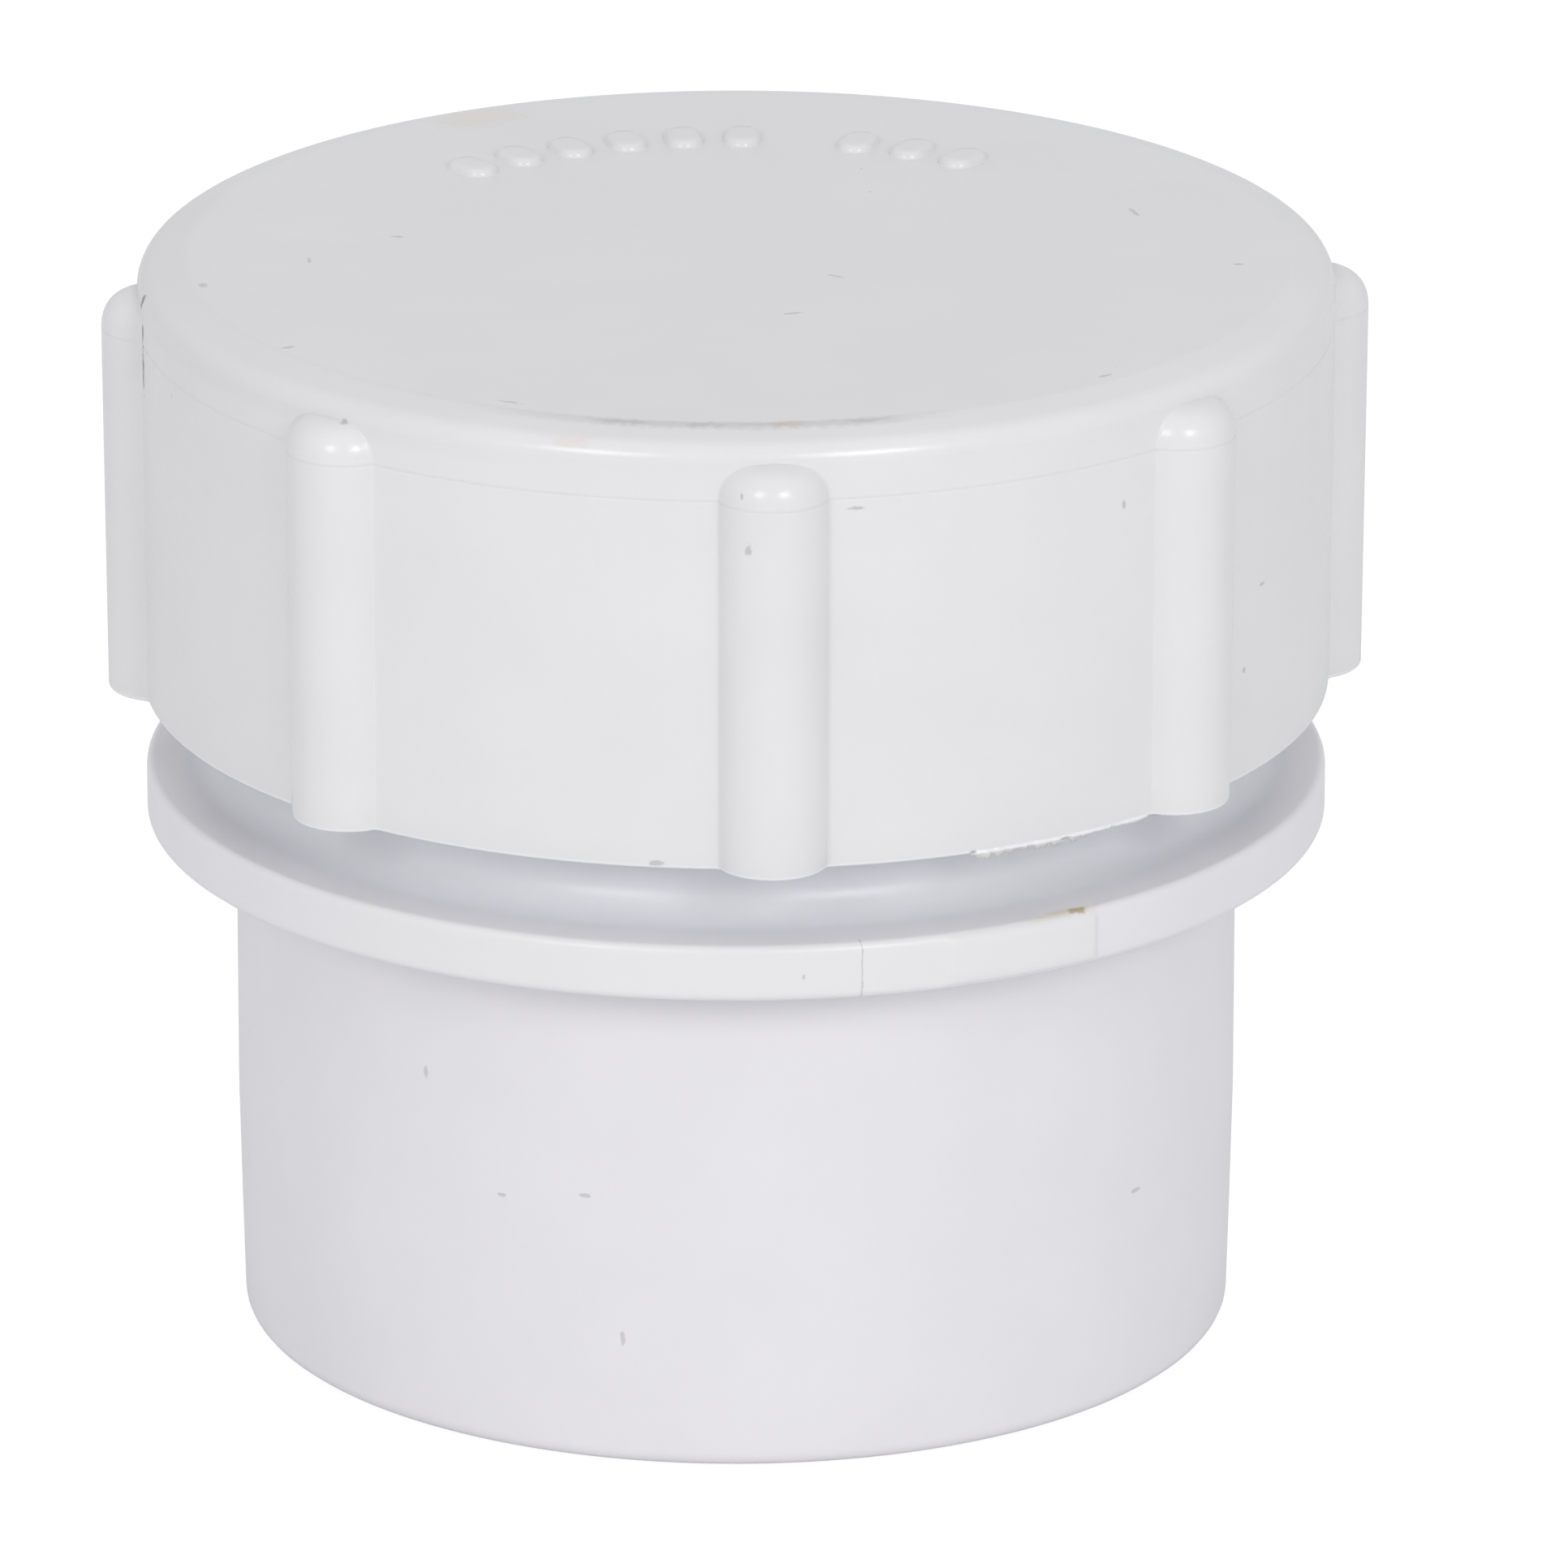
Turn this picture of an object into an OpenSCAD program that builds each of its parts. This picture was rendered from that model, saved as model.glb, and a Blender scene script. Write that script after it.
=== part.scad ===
// Access cap for a plastic waste pipe. A spigot body glues into the pipe's socket, and a
// ribbed screw cap closes its threaded neck on a flat sealing washer.
// Millimetres. The origin is the centre of the spigot's lower end, and +Z runs up the axis
// to the cap. The front is -Y, where one of the cap's grip ribs stands.

/* [Spigot and flange] */
// Outside diameter of the spigot, which slides into the pipe's socket
spigot_d = 42.8; // [40:0.1:48]
// Height of the spigot, from its lower end to the flange
spigot_length = 22.3; // [16:0.1:30]
// Height of the lead-in taper at the spigot's lower end
taper_length = 10; // [4:0.5:12]
// How much the taper narrows the spigot's radius
taper_depth = 0.22; // [0.1:0.02:0.4]
// Wall thickness of the spigot
spigot_wall = 2; // [1.6:0.1:2.4]
// How far the flange stands out past the spigot
flange_overhang = 3.8; // [2.5:0.1:5]
// Thickness of the flange
flange_thickness = 2.45; // [1.8:0.05:4]

/* [Threaded neck] */
// Height of the neck above the flange
neck_height = 18.05; // [17.8:0.05:24]
// Rise of the thread in one turn
thread_pitch = 3.5; // [3.4:0.1:3.7]
// Number of turns on the neck and in the cap
thread_turns = 2.9; // [1.5:0.1:2.9]
// Height of the thread ridges above the wall that they stand on
thread_depth = 1.15; // [0.9:0.05:1.2]
// Radial gap between a ridge's crest and the wall that it faces
thread_gap = 0.4; // [0.35:0.05:0.6]

/* [Screw cap] */
// Gap between the flange and the closed cap's lower edge
cap_gap = 3.4; // [2.5:0.05:3.6]
// Thickness of the cap's side wall at its lower edge
cap_wall = 2.05; // [1.5:0.05:2.5]
// Thickness of the cap's flat top
cap_top = 2.2; // [1.8:0.1:3]
// How much wider the cap's side is at the shoulder than at the lower edge
cap_flare = 0.1; // [0.05:0.05:0.4]
// Radius of the rounded shoulder between side and top
shoulder_r = 1.9; // [1.2:0.1:2.4]
// How far the mould's parting line lies below the cap's flat top
parting_drop = 2.8; // [2.5:0.1:4]
// Number of grip ribs
rib_count = 8; // [4:1:12]
// Width of one grip rib
rib_width = 4.8; // [4:0.1:5.5]
// How far a grip rib stands out of the side wall at the lower edge
rib_height = 1.5; // [1.3:0.1:1.9]
// How much further out a grip rib's front is at its top than at the lower edge
rib_flare = 0.14; // [0:0.02:0.3]

/* [Sealing washer] */
// Thickness of the rubber washer
washer_thickness = 2; // [1.5:0.1:3]
// Diameter of the hole through the washer
washer_hole_d = 37; // [32:0.5:39]

/* [Hidden] */
$fn = 144;

// Spigot, flange and neck
spigot_r = spigot_d / 2;
bore_r = spigot_r - spigot_wall;
end_r = spigot_r - taper_depth;
spigot_edge_r = 0.7;
flange_r = spigot_r + flange_overhang;
flange_edge_r = 0.45;
flange_z = spigot_length + flange_thickness;
neck_r = spigot_r + 0.3;
neck_top_z = flange_z + neck_height;
neck_edge = 0.4;

// Moulding gate left on the flange's rim: a shallow pad
gate_angle = 25;
gate_width = 16;
gate_height = 0.12;
gate_inset = 0.2;

// Thread: a ridge with sloping flanks
ridge_crest_w = 1;
ridge_root_w = 2.3;
ridge_buried = 0.35;
flank_slope = (ridge_root_w - ridge_crest_w) / 2 / thread_depth;
step_angle = 10;
runout_angle = 40;
neck_crest_r = neck_r + thread_depth;
neck_thread_z = flange_z + 6;
cap_thread_angle = 90;
cap_thread_z = neck_thread_z - thread_pitch / 2 + thread_pitch * cap_thread_angle / 360;

// Cap
cap_inner_r = neck_crest_r + thread_gap;
cap_crest_r = cap_inner_r - thread_depth;
cap_r = cap_inner_r + cap_wall;
cap_z = flange_z + cap_gap;
cap_ceiling_z = neck_top_z + washer_thickness;
cap_top_z = cap_ceiling_z + cap_top;
shoulder_z = cap_top_z - shoulder_r;
parting_z = cap_top_z - parting_drop;
shoulder_wall_r = cap_r + cap_flare;
mouth_chamfer = 0.5;
ceiling_corner_r = 0.4;

// Grip ribs lean out with the side wall, and end in a rounded top above the parting line
rib_r = rib_width / 2;
rib_top_edge_r = 1.65;
rib_lean = atan(rib_flare / (parting_z - cap_z));

// Raised marks in an arc near the back of the cap's top: six in a row, a space, three in a row
mark_arc_r = 16.6;
mark_angle_step = 8.8;
mark_slots = [0, 1, 2, 3, 4, 5, 7, 8, 9];
mark_last_slot = 9;
mark_length = 2.4;
mark_width = 1.6;
mark_height = 0.3;

// Washer
washer_r = cap_inner_r - 0.45;

module spigot_body() {
  color([0.89, 0.885, 0.905])
    union() {
      rotate_extrude() body_profile();
      gate_pad();
      thread_ridge(neck_r, 1, neck_thread_z, 0, thread_turns);
    }
}

module screw_cap() {
  color([0.895, 0.895, 0.9])
    union() {
      rotate_extrude() cap_profile();
      for (i = [0 : rib_count - 1]) rotate([0, 0, -90 + i * 360 / rib_count]) grip_rib();
      for (slot = mark_slots)
        rotate([0, 0, 90 + (mark_last_slot / 2 - slot) * mark_angle_step]) raised_mark();
      thread_ridge(cap_inner_r, -1, cap_thread_z, cap_thread_angle, thread_turns);
    }
}

module sealing_washer() {
  color([0.16, 0.16, 0.17])
    translate([0, 0, neck_top_z])
      rotate_extrude()
        translate([washer_hole_d / 2, 0]) square([washer_r - washer_hole_d / 2, washer_thickness]);
}

// Half section of the body: wall, flange and neck around the open bore
module body_profile() {
  wall = [
    [bore_r, 0], [end_r - spigot_edge_r, 0], [end_r, spigot_edge_r], [spigot_r, taper_length],
    [spigot_r, spigot_length + flange_edge_r], [neck_r, flange_z - flange_edge_r],
    [neck_r, neck_top_z - neck_edge], [neck_r - neck_edge, neck_top_z], [bore_r, neck_top_z]
  ];
  union() {
    polygon(wall);
    translate([end_r - spigot_edge_r, spigot_edge_r]) circle(spigot_edge_r);
    translate([bore_r, spigot_length]) square([flange_r - flange_edge_r - bore_r, flange_thickness]);
    translate([bore_r, spigot_length + flange_edge_r])
      square([flange_r - bore_r, flange_thickness - 2 * flange_edge_r]);
    for (z = [spigot_length + flange_edge_r, flange_z - flange_edge_r])
      translate([flange_r - flange_edge_r, z]) circle(flange_edge_r);
  }
}

module gate_pad() {
  rotate([0, 0, -90 + gate_angle - gate_width / 2])
    rotate_extrude(angle = gate_width)
      translate([spigot_r, spigot_length + gate_inset])
        square([flange_overhang + gate_height, flange_thickness - 2 * gate_inset]);
}

// Half section of the cap: leaning side wall, rounded shoulder, flat top
module cap_profile() {
  difference() {
    union() {
      polygon([[0, cap_z], [cap_r, cap_z], [shoulder_wall_r, shoulder_z], [0, shoulder_z]]);
      square_from(0, shoulder_z, shoulder_wall_r - shoulder_r, cap_top_z);
      translate([shoulder_wall_r - shoulder_r, shoulder_z]) circle(shoulder_r);
    }
    cap_hollow_profile();
  }
}

module cap_hollow_profile() {
  corner_z = cap_ceiling_z - ceiling_corner_r;
  union() {
    polygon([
      [-1, cap_z - 1], [cap_inner_r + mouth_chamfer + 1, cap_z - 1],
      [cap_inner_r, cap_z + mouth_chamfer], [cap_inner_r, corner_z], [-1, corner_z]
    ]);
    square_from(-1, corner_z, cap_inner_r - ceiling_corner_r, cap_ceiling_z);
    translate([cap_inner_r - ceiling_corner_r, corner_z]) circle(ceiling_corner_r);
  }
}

module square_from(x0, y0, x1, y1) {
  translate([x0, y0]) square([x1 - x0, y1 - y0]);
}

// One grip rib on the +X side: a round-fronted bar with a rounded top, cut off level with
// the cap's lower edge and inside the side wall
module grip_rib() {
  inside_r = cap_inner_r + cap_wall / 2;
  intersection() {
    translate([cap_r + rib_height - rib_r, 0, cap_z])
      rotate([0, rib_lean, 0])
        translate([0, 0, -1])
          rotate_extrude() rib_profile(parting_z - cap_z + 1);
    translate([inside_r, -rib_width, cap_z]) cube([rib_width * 2, rib_width * 2, cap_top_z - cap_z]);
  }
}

module rib_profile(height) {
  union() {
    square([rib_r, height]);
    square([rib_r - rib_top_edge_r, height + rib_top_edge_r]);
    intersection() {
      translate([rib_r - rib_top_edge_r, height]) circle(rib_top_edge_r);
      square([rib_r, height + rib_top_edge_r]);
    }
  }
}

// One raised mark on the +X side: a low bar with round ends that points at the cap's centre
module raised_mark() {
  half_run = (mark_length - mark_width) / 2;
  translate([mark_arc_r, 0, cap_top_z - mark_height])
    linear_extrude(2 * mark_height)
      union() {
        square([2 * half_run, mark_width], center = true);
        for (side = [-1, 1]) translate([side * half_run, 0]) circle(mark_width / 2);
      }
}

// A right-handed helical ridge on a wall of radius wall_r. It stands out of the wall when
// side is 1 and into the hollow when side is -1, and sinks into the wall at both ends.
module thread_ridge(wall_r, side, start_z, start_angle, turns) {
  rings = round(turns * 360 / step_angle);
  points = [for (i = [0 : rings]) each ridge_section(i, rings, wall_r, side, start_z, start_angle)];
  walls = [for (i = [0 : rings - 1], k = [0 : 3]) each ridge_faces(i, k)];
  ends = [[0, 1, 2], [0, 2, 3], [for (k = [2, 1, 0]) 4 * rings + k], [for (k = [3, 2, 0]) 4 * rings + k]];
  all_faces = concat(walls, ends);
  polyhedron(points, side < 0 ? all_faces : [for (f = all_faces) [f[2], f[1], f[0]]]);
}

// Corners of the ridge's section at one step: root below, crest below, crest above, root above
function ridge_section(i, rings, wall_r, side, start_z, start_angle) =
  let(turned = i * step_angle,
      angle = start_angle + turned,
      z = start_z + thread_pitch * turned / 360,
      left = min(turned, (rings - i) * step_angle),
      risen = min(1, left / runout_angle),
      crest_r = wall_r + side * (-ridge_buried / 2 + risen * (thread_depth + ridge_buried / 2)),
      root_r = wall_r - side * ridge_buried,
      root_half = ridge_root_w / 2 + ridge_buried * flank_slope,
      crest_half = ridge_crest_w / 2)
  [ring_point(root_r, angle, z - root_half), ring_point(crest_r, angle, z - crest_half),
   ring_point(crest_r, angle, z + crest_half), ring_point(root_r, angle, z + root_half)];

function ring_point(r, angle, z) = [r * cos(angle), r * sin(angle), z];

// Two triangles between corner k and the next corner, from step i to the step after it
function ridge_faces(i, k) =
  let(a = 4 * i + k, b = 4 * i + (k + 1) % 4, c = b + 4, d = a + 4)
  [[a, d, b], [b, d, c]];

spigot_body();
screw_cap();
sealing_washer();
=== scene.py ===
"""Looks of the pipe cap: a ribbed screw cap and its rubber washer on a flanged spigot body.

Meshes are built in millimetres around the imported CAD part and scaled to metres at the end.
Every wall is a stack of closed rings, counter-clockwise seen from above, joined by bands.
"""
import math

import bpy
import numpy as np
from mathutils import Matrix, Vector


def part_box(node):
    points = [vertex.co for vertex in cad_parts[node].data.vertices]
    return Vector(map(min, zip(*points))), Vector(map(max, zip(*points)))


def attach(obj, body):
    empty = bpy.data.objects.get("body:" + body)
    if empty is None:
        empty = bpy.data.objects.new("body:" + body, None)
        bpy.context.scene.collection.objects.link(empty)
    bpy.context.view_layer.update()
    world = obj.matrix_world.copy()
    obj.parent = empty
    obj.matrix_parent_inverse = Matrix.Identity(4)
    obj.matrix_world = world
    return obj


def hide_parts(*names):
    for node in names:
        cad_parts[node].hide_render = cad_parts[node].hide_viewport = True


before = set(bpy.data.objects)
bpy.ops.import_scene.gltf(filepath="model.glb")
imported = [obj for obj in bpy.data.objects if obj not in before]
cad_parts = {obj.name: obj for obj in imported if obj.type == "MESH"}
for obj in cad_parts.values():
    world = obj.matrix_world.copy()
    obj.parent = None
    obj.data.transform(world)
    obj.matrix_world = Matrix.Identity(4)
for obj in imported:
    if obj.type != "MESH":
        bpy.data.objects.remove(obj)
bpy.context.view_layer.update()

MM = 0.001
SECTORS = 8  # grip ribs round the cap
FRONT = -90.0  # model angle of the photo's front, in degrees


def node_box(name):
    """Lowest and highest corner of a CAD node, in millimetres."""
    low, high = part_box(name)
    return np.array(low) / MM, np.array(high) / MM


body_low, body_high = node_box("spigot_body")
cap_low, cap_high = node_box("screw_cap")
washer_low, washer_high = node_box("sealing_washer")

# Body
FLANGE_OVERHANG = 3.8
FLANGE_THICKNESS = 2.45
SPIGOT_WALL = 2.0
TAPER_DEPTH = 0.22
NECK_STEP = 0.3  # the neck is this much wider than the spigot
FLANGE_R = body_high[0]
SPIGOT_R = FLANGE_R - FLANGE_OVERHANG
BORE_R = SPIGOT_R - SPIGOT_WALL
END_R = SPIGOT_R - TAPER_DEPTH
TAPER_Z = 10.0
FLANGE_LOW_Z = 22.3
FLANGE_Z = FLANGE_LOW_Z + FLANGE_THICKNESS
FLANGE_MIDDLE_Z = (FLANGE_LOW_Z + FLANGE_Z) / 2
NECK_R = SPIGOT_R + NECK_STEP
NECK_TOP_Z = washer_low[2]

# Cap
MARK_HEIGHT = 0.3
CAP_WALL = 2.05
PARTING_DROP = 2.8
CAP_Z = cap_low[2]
CAP_TOP_Z = cap_high[2] - MARK_HEIGHT
CEILING_Z = washer_high[2]
INSIDE_BOX = 0.001  # the ribs stop this short of the CAD box
RIB_FRONT_R = cap_high[0] - INSIDE_BOX
RIB_LEAN = 0.14
RIB_R = 2.4
RIB_EDGE_R = 1.65
RIB_HEIGHT = 1.5
CAP_R = RIB_FRONT_R - RIB_LEAN - RIB_HEIGHT
CAP_FLARE = 0.1
CAP_INNER_R = CAP_R - CAP_WALL
FLAT_R = 23.55  # the flat top ends here, in a shallow crease
MARGIN_SLOPE = math.radians(14)  # outside the crease the top falls away, then rounds over
SHOULDER_R = 0.95
SHOULDER_CENTRE_R = CAP_R + CAP_FLARE - SHOULDER_R
SHOULDER_Z = (CAP_TOP_Z - (SHOULDER_CENTRE_R - FLAT_R) * math.tan(MARGIN_SLOPE)
              - SHOULDER_R / math.cos(MARGIN_SLOPE))
DOME_POWER = 2.3  # 2 would be a quarter circle over a rib's top; more is squarer
PARTING_Z = CAP_TOP_Z - PARTING_DROP

# Thread
PITCH = 3.5
THREAD_TURNS = 2.9
THREAD_DEPTH = 1.15
CREST_W = 1.0
ROOT_W = 2.3
RUNOUT = 40.0  # degrees over which the ridge rises at each end
ROW_MARGIN = 0.06  # rows closer than this to a wall's end join its ring
NECK_THREAD_Z = FLANGE_Z + 6.0
CAP_THREAD_ANGLE = 90.0
CAP_THREAD_Z = NECK_THREAD_Z - PITCH / 2 + PITCH * CAP_THREAD_ANGLE / 360


def smooth(t):
    """0 to 1 with level ends."""
    t = np.clip(t, 0.0, 1.0)
    return t * t * (3 - 2 * t)


def circle(radius, z, angles):
    """A closed ring of points; radius and z may vary along it. Angles are in degrees."""
    turn = np.radians(angles)
    flat = np.ones_like(turn)
    return np.stack([radius * np.cos(turn), radius * np.sin(turn), z * flat], axis=1)


class Surface:
    """Points in millimetres and faces, collected ring by ring."""

    def __init__(self):
        self.points = []
        self.faces = []

    def ring(self, points):
        first = len(self.points)
        self.points.extend(np.asarray(points, float).tolist())
        return list(range(first, len(self.points)))

    def face(self, loop):
        kept = [v for i, v in enumerate(loop) if v != loop[i - 1]]
        if len(kept) > 2 and len(set(kept)) == len(kept):
            self.faces.append(kept)

    def band(self, lower, upper):
        for k in range(len(lower)):
            m = (k + 1) % len(lower)
            self.face([lower[k], lower[m], upper[m], upper[k]])

    def bands(self, rings):
        for lower, upper in zip(rings, rings[1:]):
            self.band(lower, upper)

    def halving_band(self, fine, coarse):
        """Joins a ring to an outer one with twice as many points, the coarse one first."""
        for k in range(len(coarse)):
            m = (k + 1) % len(coarse)
            a, b, c = fine[2 * k], fine[2 * k + 1], fine[(2 * k + 2) % len(fine)]
            self.face([coarse[k], b, a])
            self.face([coarse[k], coarse[m], c, b])

    def centre(self, ring, point, upward):
        middle = self.ring([point])[0]
        for k in range(len(ring)):
            m = (k + 1) % len(ring)
            self.face([ring[k], ring[m], middle] if upward else [ring[m], ring[k], middle])

    def lathe(self, profile, angles):
        """Rings for a list of (radius, z) points."""
        return [self.ring(circle(r, z, angles)) for r, z in profile]

    def thread(self, low, high, wall_r, side, start_z, angles):
        """A wall between two rings with a helical ridge. Its rows follow the helix."""
        low_z = self.points[low[0]][2]
        high_z = self.points[high[0]][2]
        phases = thread_phases()
        share = (angles - angles[0]) / 360.0
        first_turn = math.floor((low_z - start_z) / PITCH) - 2
        last_turn = math.ceil((high_z - start_z) / PITCH) + 1
        rows = []
        for turn in range(first_turn, last_turn + 1):
            for phase in phases:
                z = start_z + PITCH * (turn + share) + phase
                turned = 360.0 * (turn + share)
                left = np.minimum(turned, THREAD_TURNS * 360.0 - turned)
                risen = smooth(left / RUNOUT)
                r = wall_r + side * THREAD_DEPTH * risen * ridge_shape(phase)
                rows.append(self.thread_row(circle(r, z, angles), low, high, low_z, high_z))
        per_turn = len(phases)
        rows.extend([high] * per_turn)
        for g in range(len(rows) - per_turn - 1):
            after = [rows[g + per_turn][0], rows[g + 1 + per_turn][0]]
            lower = rows[g] + [after[0]]
            upper = rows[g + 1] + [after[1]]
            for k in range(len(angles)):
                loop = [lower[k], lower[k + 1], upper[k + 1], upper[k]]
                self.face(loop if side > 0 else loop[::-1])

    def thread_row(self, points, low, high, low_z, high_z):
        row = []
        for k, (x, y, z) in enumerate(points):
            if z < low_z + ROW_MARGIN:
                row.append(low[k])
            elif z > high_z - ROW_MARGIN:
                row.append(high[k])
            else:
                row.append(len(self.points))
                self.points.append([float(x), float(y), float(z)])
        return row

    def build(self, name, material, body, node=None):
        """Makes the Blender object, in metres, riding on a CAD body."""
        mesh = bpy.data.meshes.new(name)
        scaled = (np.array(self.points) * MM).tolist()
        mesh.from_pydata(scaled, [], self.faces)
        mesh.validate()
        mesh.polygons.foreach_set("use_smooth", [True] * len(mesh.polygons))
        mesh.materials.append(material)
        mesh.update()
        piece = bpy.data.objects.new(name, mesh)
        bpy.context.scene.collection.objects.link(piece)
        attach(piece, body)
        if node:
            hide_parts(node)
        return piece


def thread_phases():
    """Heights of one turn's rows, measured from the middle of the ridge."""
    crest, root, half = CREST_W / 2, ROOT_W / 2, PITCH / 2
    up = [0.0, 0.55 * crest, crest - 0.1, crest, crest + 0.12, root - 0.12, root, root + 0.15]
    return [-half] + [-p for p in up[:0:-1]] + up


def ridge_shape(phase):
    """Share of the ridge's height at a distance from its middle."""
    slope = (abs(phase) - CREST_W / 2) / ((ROOT_W - CREST_W) / 2)
    corner = 0.035
    if abs(phase) == CREST_W / 2:
        return 1 - corner
    if abs(phase) == ROOT_W / 2:
        return corner
    return 1 - np.clip(slope, 0, 1)


def arc(centre_r, centre_z, radius, start, stop, count):
    """Profile points on a quarter round, from one direction to another in degrees."""
    turn = np.radians(np.linspace(start, stop, count))
    return [(centre_r + radius * math.cos(t), centre_z + radius * math.sin(t)) for t in turn]


# ---------------------------------------------------------------- cap

BAR_STEPS = 12
FILLET_STEPS = 5
WALL_STEPS = 14
RIB_FILLET = 0.24
DOME_FILLET = 0.2
DOME_TURNS = [4, 11, 19, 28, 37, 46, 55, 63, 71, 78, 84, 90]
EDGE_R = 0.22  # round at the cap's lower edge
GROOVE = [(-0.05, 0.0), (-0.015, 0.02), (0.015, 0.02), (0.05, 0.0)]  # parting line: height, depth
# Flat top from its crease in to the middle: distance from the axis, then drop below the top
TOP_PROFILE = [
    (FLAT_R, 0.006), (FLAT_R - 0.06, 0.002), (23.2, 0.0), (22.5, 0.003),
]
TOP_DISH = [(20.5, 0.02), (17, 0.04), (13, 0.06), (9, 0.07), (5, 0.08), (2, 0.08)]


def wall_r_at(z):
    """Radius of the cap's side and shoulder at a height."""
    if z <= SHOULDER_Z:
        return CAP_R + CAP_FLARE * (z - CAP_Z) / (SHOULDER_Z - CAP_Z)
    rise = min(z - SHOULDER_Z, SHOULDER_R * math.cos(MARGIN_SLOPE))
    return SHOULDER_CENTRE_R + math.sqrt(SHOULDER_R ** 2 - rise ** 2)


def bar_centre_at(z):
    """How far a grip rib's own axis is from the cap's at a height."""
    lean = RIB_LEAN * (z - CAP_Z) / (PARTING_Z - CAP_Z)
    return CAP_R + RIB_HEIGHT - RIB_R + lean


def half_sector(wall_r, bar_c, bar_r, fillet):
    """Outline from a rib's front to the middle of the gap beside it, rib on +X."""
    reach = wall_r + fillet
    bar_r = max(bar_r, wall_r - bar_c + 0.01)
    cosine = (reach ** 2 + bar_c ** 2 - (bar_r + fillet) ** 2) / (2 * bar_c * reach)
    beta = math.acos(min(1.0, cosine))
    fx, fy = reach * math.cos(beta), reach * math.sin(beta)
    tangent = math.atan2(fy, fx - bar_c)
    bar = np.linspace(0, tangent, BAR_STEPS)
    turn = np.linspace(tangent + math.pi, beta + math.pi, FILLET_STEPS)[1:]
    wall = np.linspace(beta, math.pi / SECTORS, WALL_STEPS)[1:]
    points = [(bar_c + bar_r * math.cos(t), bar_r * math.sin(t)) for t in bar]
    points += [(fx + fillet * math.cos(t), fy + fillet * math.sin(t)) for t in turn]
    points += [(wall_r * math.cos(t), wall_r * math.sin(t)) for t in wall]
    return np.array(points)


def all_round(half):
    """A whole ring from half a sector's outline, starting in the gap before the front rib."""
    mirrored = half[:0:-1] * [1, -1]
    sector = np.vstack([mirrored, half])[:-1]
    ring = []
    for i in range(SECTORS):
        turn = math.radians(FRONT + i * 360.0 / SECTORS)
        spin = np.array([[math.cos(turn), math.sin(turn)], [-math.sin(turn), math.cos(turn)]])
        ring.append(sector @ spin)
    return np.vstack(ring)


def cap_ring(surface, z, inset=0.0, fillet=RIB_FILLET, bar_r=RIB_R):
    """The cap's ribbed outline at a height, moved in by inset."""
    half = half_sector(wall_r_at(z) - inset, bar_centre_at(z), bar_r - inset, fillet + inset)
    flat = all_round(half)
    return surface.ring(np.column_stack([flat, np.full(len(flat), z)]))


def dome_rows():
    """Heights and bar radii over a rib's rounded top."""
    turns = np.radians(DOME_TURNS)
    flat = RIB_R - RIB_EDGE_R
    out = RIB_EDGE_R * np.cos(turns).clip(0) ** (2 / DOME_POWER)
    up = RIB_EDGE_R * np.sin(turns) ** (2 / DOME_POWER)
    return list(zip(PARTING_Z + up, flat + out))


def ring_angles(surface, ring):
    xy = np.array([surface.points[v][:2] for v in ring])
    return np.degrees(np.unwrap(np.arctan2(xy[:, 1], xy[:, 0])))


def cap_side(surface):
    """Rings of the outside, from the lower edge to the end of the ribs' domes."""
    rings = []
    for turn in np.radians([0, 30, 60, 90]):
        z = CAP_Z + EDGE_R * (1 - math.cos(turn))
        rings.append(cap_ring(surface, z, inset=EDGE_R * (1 - math.sin(turn))))
    for z in np.linspace(CAP_Z + EDGE_R, PARTING_Z - 0.1, 14)[1:]:
        rings.append(cap_ring(surface, z))
    for dz, depth in GROOVE:
        rings.append(cap_ring(surface, PARTING_Z + dz, inset=depth))
    for z, bar_r in dome_rows():
        rings.append(cap_ring(surface, z, fillet=DOME_FILLET, bar_r=bar_r))
    return rings


def shoulder_profile(dome_z):
    """Points from the domes' end over the shoulder and margin to the flat top."""
    start = math.degrees(math.asin(max(dome_z - SHOULDER_Z, 0.0) / SHOULDER_R))
    stop = 90 - math.degrees(MARGIN_SLOPE)
    fall = math.tan(MARGIN_SLOPE)
    profile = arc(SHOULDER_CENTRE_R, SHOULDER_Z, SHOULDER_R, start, stop, 10)[1:]
    profile += [(FLAT_R + out, CAP_TOP_Z - out * fall) for out in (0.7, 0.35, 0.06)]
    return profile + [(r, CAP_TOP_Z - drop) for r, drop in TOP_PROFILE]


def cap_shoulder(surface, last):
    """Rings over the shoulder and the flat top. They start on the domes' last ring."""
    crowded = ring_angles(surface, last)
    even = crowded[0] + np.arange(len(last)) * 360.0 / len(last)
    dome_z = surface.points[last[0]][2]
    wall_r = wall_r_at(dome_z)
    first = surface.ring(circle(wall_r, dome_z, crowded))
    on_wall = [math.hypot(*surface.points[v][:2]) < wall_r + 0.001 for v in last]
    rings = [[low if there else high for low, high, there in zip(last, first, on_wall)]]
    rows_to_even = 11
    for i, (r, z) in enumerate(shoulder_profile(dome_z)):
        angles = crowded + (even - crowded) * smooth((i + 1) / rows_to_even)
        rings.append(surface.ring(circle(r, z, angles)))
    for r, dip in TOP_DISH:
        rings.append(surface.ring(circle(r, CAP_TOP_Z - dip, even)))
    return rings


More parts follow.
